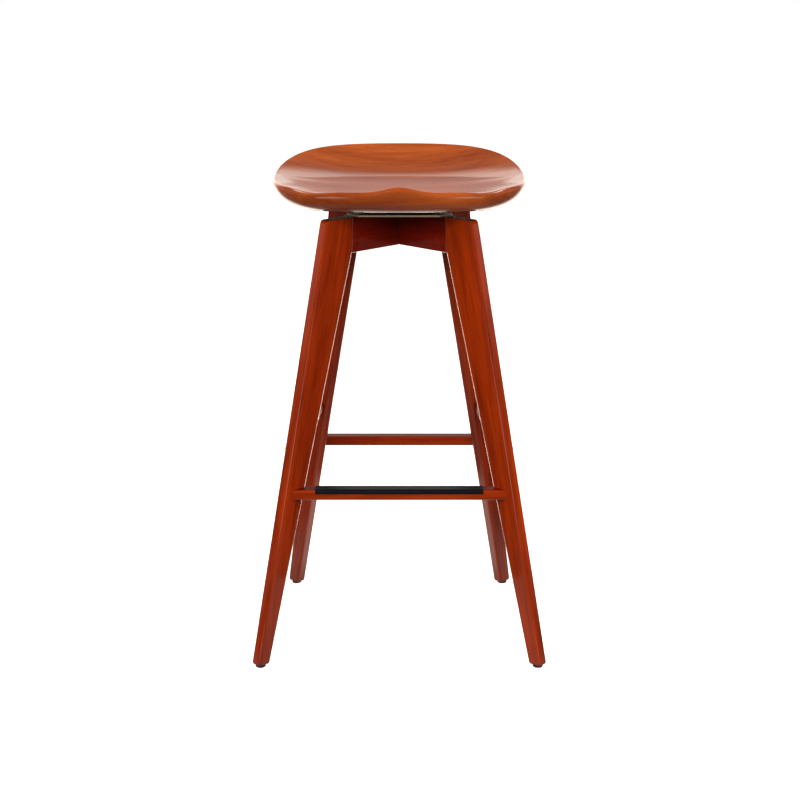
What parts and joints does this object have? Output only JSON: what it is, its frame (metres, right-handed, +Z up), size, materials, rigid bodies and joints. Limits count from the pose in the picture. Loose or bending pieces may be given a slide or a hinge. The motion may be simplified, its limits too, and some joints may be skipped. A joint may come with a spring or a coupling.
{
  "type": "swivel bar stool",
  "caption": "Backless swivel bar stool with a saddle seat of solid wood, tapered board legs on the diagonals, crossed rails, stretchers and a metal-covered footrest bar.",
  "frame": {"origin": "on the floor, at the middle of the stool's footprint", "axes": "+Z up, +X to the stool's right seen from the front, +Y towards the rear, away from the footrest bar"},
  "size_m": [0.4692, 0.4314, 0.786],
  "materials": {
    "seat_wood": "glossy lacquer over mahogany stain",
    "frame_wood": "glossy lacquer over mahogany stain",
    "dowel_wood": "plain beech, unfinished",
    "swivel_steel": "zinc plated, yellow passivated",
    "screw_steel": "zinc plated",
    "ball_steel": "polished",
    "cage_brass": "pressed sheet",
    "cover_metal": "semi-gloss black paint",
    "cover_screw_steel": "blackened",
    "glide_plastic": "moulded black"
  },
  "bodies": {
    "frame": {"swivel_lower_plate": "swivel_steel", "frame_screws": "screw_steel", "left_rail": "frame_wood", "right_rail": "frame_wood", "rail_dowels": "dowel_wood", "front_left_leg": "frame_wood", "front_right_leg": "frame_wood", "rear_left_leg": "frame_wood", "rear_right_leg": "frame_wood", "footrest_bar": "frame_wood", "footrest_cover": "cover_metal", "cover_screws": "cover_screw_steel", "rear_stretcher": "frame_wood", "left_stretcher": "frame_wood", "right_stretcher": "frame_wood", "stretcher_dowels": "dowel_wood", "front_left_glide": "glide_plastic", "front_right_glide": "glide_plastic", "rear_left_glide": "glide_plastic", "rear_right_glide": "glide_plastic", "glide_nails": "screw_steel"},
    "ball_ring": {"swivel_balls": "ball_steel", "swivel_ball_cage": "cage_brass"},
    "swivel_seat": {"seat": "seat_wood", "seat_screws": "screw_steel", "swivel_upper_plate": "swivel_steel"}
  },
  "joints": [
    {"name": "seat_swivel", "type": "hinge", "parent": "frame", "child": "swivel_seat", "pos_m": [0, 0.019, 0.711], "axis": [0, 0, 1], "continuous": true},
    {"name": "ball_ring_turn", "type": "hinge", "parent": "frame", "child": "ball_ring", "pos_m": [0, 0.019, 0.711], "axis": [0, 0, 1], "continuous": true}
  ],
  "couplings": [
    {"joint": "ball_ring_turn", "follows": "seat_swivel", "ratio": 0.5}
  ]
}
